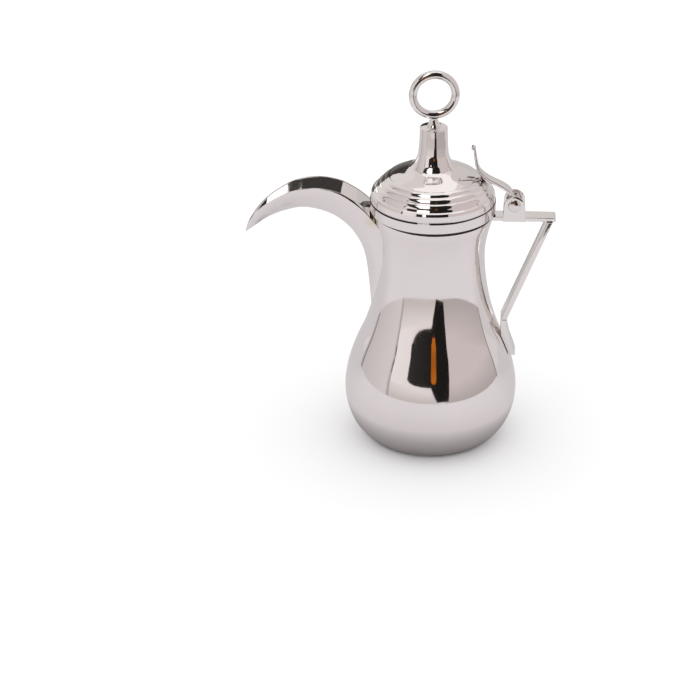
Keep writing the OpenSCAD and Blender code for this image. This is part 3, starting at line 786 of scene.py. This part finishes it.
def overhead(name, rim, mat, z):
    """A piece of the roof from compass angles and distances."""
    return card("card_" + name, [(r * math.sin(math.radians(a)), -r * math.cos(math.radians(a)), z) for a, r in rim], mat)


overhead("opening_roof", [(-78, 0.62), (-60, 0.66), (-40, 0.68), (-20, 0.68), (0, 0.68), (20, 0.68), (40, 0.68), (58, 0.66),
                          (58, 0.40), (40, 0.37), (20, 0.355), (0, 0.35), (-20, 0.355), (-40, 0.37), (-60, 0.40), (-78, 0.46)], dark, ROOF - 0.002)
overhead("lamp_roof", [(-52, 0.68), (-30, 0.69), (-9, 0.69), (-13, 0.34), (-35, 0.36), (-58, 0.40)], lit("lamp_top", (1.3, 1.27, 1.24)), ROOF - 0.004)
wall("lamp_left", -50, -30, (1.15, 0.80), ROOF, lit("lamp_side", (1.4, 1.37, 1.34)), 0.016)
lamp = lit("lamp", (1.5, 1.47, 1.44))
front("opening_light", [(-0.255, 0.65), (-0.055, 0.65), (-0.085, ROOF), (-0.345, ROOF), (-0.345, 0.80)], lamp, 0.008)
front("opening_spot", [(-0.165, 0.425), (-0.105, 0.425), (-0.105, 0.475), (-0.165, 0.475)], lamp, 0.008)
front("opening_strap", [(0.05, 0.45), (0.11, 0.45), (0.12, 0.85), (0.07, 0.85)], lit("strap_glow", (0.12, 0.055, 0.012), (0.05, 0.03, 0.012), 2, (0.45, 0.8)), 0.008)
front("opening_strap_low", [(0.02, 0.34), (0.02, 0.18), (0.035, 0.16), (0.075, 0.16), (0.09, 0.19), (0.09, 0.34)],
      lit("strap_glow_low", (0.50, 0.135, 0.012), (0.36, 0.10, 0.010), 2, (0.17, 0.25)), 0.008)
card("card_left_aft", [(-SIDE, -0.2, 0), (-SIDE, BACK, 0), (-SIDE, BACK, ROOF), (-SIDE, -0.2, ROOF)],
     lit("cloth_left_aft", (0.74, 0.705, 0.71), (0.60, 0.56, 0.54), 2, (0.3, 1.1)))
card("card_right_aft", [(SIDE, -0.2, 0), (SIDE, BACK, 0), (SIDE, BACK, ROOF), (SIDE, -0.2, ROOF)],
     lit("cloth_right_aft", (0.72, 0.68, 0.68), (0.70, 0.64, 0.63), 2, (0.3, 1.1)))
card("card_back", [(-SIDE, BACK, 0), (SIDE, BACK, 0), (SIDE, BACK, ROOF), (-SIDE, BACK, ROOF)],
     lit("backdrop", (1.35, 1.33, 1.32), (0.585, 0.56, 0.552), 0, (-0.42, 0.05)))
card("card_floor_aft", [(-0.26, 0.40, 0.002), (0.10, 0.24, 0.002), (0.10, 0.55, 0.002), (-0.26, 0.55, 0.002)], lit("table_aft", (0.50, 0.485, 0.475)))
card("card_back_dark", [(x, 0.30, z) for x, z in ((-0.226, 0.14), (-0.2245, 0.255), (-0.217, 0.285), (-0.19, 0.305), (-0.172, 0.309), (-0.165, 0.362), (-0.177, 0.417),
                                                   (-0.170, 0.43), (-0.150, 0.36), (-0.13, 0.348), (0.02, 0.345), (0.016, 0.30), (0.005, 0.20), (0.0, 0.14))],
     lit("dark_room", (0.17, 0.16, 0.148), (0.042, 0.038, 0.036), 2, (0.20, 0.285)))
card("card_back_upper", [(-SIDE, 0.8, 0.36), (SIDE, 0.8, 0.36), (SIDE, 0.8, ROOF), (-SIDE, 0.8, ROOF)],
     lit("cloth_back_upper", (0.76, 0.72, 0.70), (0.64, 0.61, 0.60), 0, (-0.3, 0.3)))
card("card_back_left", [(-SIDE, 0.79, 0.20), (-0.50, 0.79, 0.20), (-0.50, 0.79, 0.36), (-SIDE, 0.79, 0.36)], lit("cloth_back_left", (0.68, 0.645, 0.63)))
card("card_roof", [(-SIDE, -0.7, ROOF), (SIDE, -0.7, ROOF), (SIDE, BACK, ROOF), (-SIDE, BACK, ROOF)], lit("cloth_roof", (0.99, 0.955, 0.94)))
card("card_roof_left", [(-SIDE, 0.30, ROOF - 0.001), (-0.22, 0.30, ROOF - 0.001), (-0.22, BACK, ROOF - 0.001), (-SIDE, BACK, ROOF - 0.001)], lit("cloth_roof_left", (0.72, 0.67, 0.64)))
card("card_roof_right", [(0.62, 0.30, ROOF - 0.001), (SIDE, 0.30, ROOF - 0.001), (SIDE, BACK, ROOF - 0.001), (0.62, BACK, ROOF - 0.001)], lit("cloth_roof_right", (0.77, 0.70, 0.67)))


def matt(name, colour):
    m = bpy.data.materials.new(name)
    m.use_nodes = True
    b = m.node_tree.nodes["Principled BSDF"]
    b.inputs["Base Color"].default_value = (*colour, 1)
    b.inputs["Roughness"].default_value = 0.9
    b.inputs["Specular IOR Level"].default_value = 0.0
    return m


def table(name, lo, hi, z, mat):
    me = bpy.data.meshes.new(name)
    me.from_pydata([(lo[0], lo[1], z), (hi[0], lo[1], z), (hi[0], hi[1], z), (lo[0], hi[1], z)], [], [(0, 1, 2, 3)])
    me.materials.append(mat)
    o = bpy.data.objects.new(name, me)
    scene.collection.objects.link(o)
    return o


floor = table("floor", (-9, -9), (9, 9), -0.0002, matt("floor_white", (0.90, 0.90, 0.90)))
floor.visible_glossy = False
# the table again, seen only in the metal: a dimmer copy of the white table, which paints its reflection darker than
# the table looks
pts = []
for k in range(-50, 51):
    az = 2 * k
    r = reach(az)
    pts.append((r * math.sin(math.radians(az)), -r * math.cos(math.radians(az)), 0))
me = bpy.data.meshes.new("floor_in_metal")
me.from_pydata(pts + [(SIDE, -0.2, 0), (SIDE, BACK, 0), (-SIDE, BACK, 0), (-SIDE, -0.2, 0)], [], [tuple(range(len(pts) + 4))])
shade = matt("floor_seen_in_metal", (0.635, 0.603, 0.617))
nt = shade.node_tree
tc = node(nt, "ShaderNodeTexCoord", -1100, 0)
far = node(nt, "ShaderNodeVectorMath", -900, 100)
far.operation = "LENGTH"
nt.links.new(tc.outputs["Object"], far.inputs[0])
# painted shadow round the pot's foot, on top of the shadow the pot casts
near = node(nt, "ShaderNodeMapRange", -700, 100)
near.interpolation_type = "SMOOTHSTEP"
for key, v in (("From Min", 0.058), ("From Max", 0.095), ("To Min", 0.66), ("To Max", 1.0)):
    near.inputs[key].default_value = v
nt.links.new(far.outputs["Value"], near.inputs["Value"])
sep = node(nt, "ShaderNodeSeparateXYZ", -900, -100)
nt.links.new(tc.outputs["Object"], sep.inputs[0])
# darker towards the back of the table
aft = node(nt, "ShaderNodeMapRange", -700, -100)
for key, v in (("From Min", 0.0), ("From Max", 0.16), ("To Min", 1.0), ("To Max", 0.86)):
    aft.inputs[key].default_value = v
nt.links.new(sep.outputs[1], aft.inputs["Value"])
both = node(nt, "ShaderNodeMath", -500, 0)
both.operation = "MULTIPLY"
nt.links.new(near.outputs["Result"], both.inputs[0])
nt.links.new(aft.outputs["Result"], both.inputs[1])
tone = node(nt, "ShaderNodeMix", -300, 0)
tone.data_type = "RGBA"
tone.inputs[6].default_value = (0, 0, 0, 1)
tone.inputs[7].default_value = (0.635, 0.603, 0.617, 1)
nt.links.new(both.outputs[0], tone.inputs[0])
nt.links.new(tone.outputs[2], nt.nodes["Principled BSDF"].inputs["Base Color"])
me.materials.append(shade)
sheen = bpy.data.objects.new("floor_in_metal", me)
scene.collection.objects.link(sheen)
sheen.visible_camera = sheen.visible_diffuse = sheen.visible_shadow = False

world = bpy.data.worlds.new("studio")
scene.world = world
world.use_nodes = True
world.node_tree.nodes["Background"].inputs["Color"].default_value = (1, 1, 1, 1)
world.node_tree.nodes["Background"].inputs["Strength"].default_value = 1.2
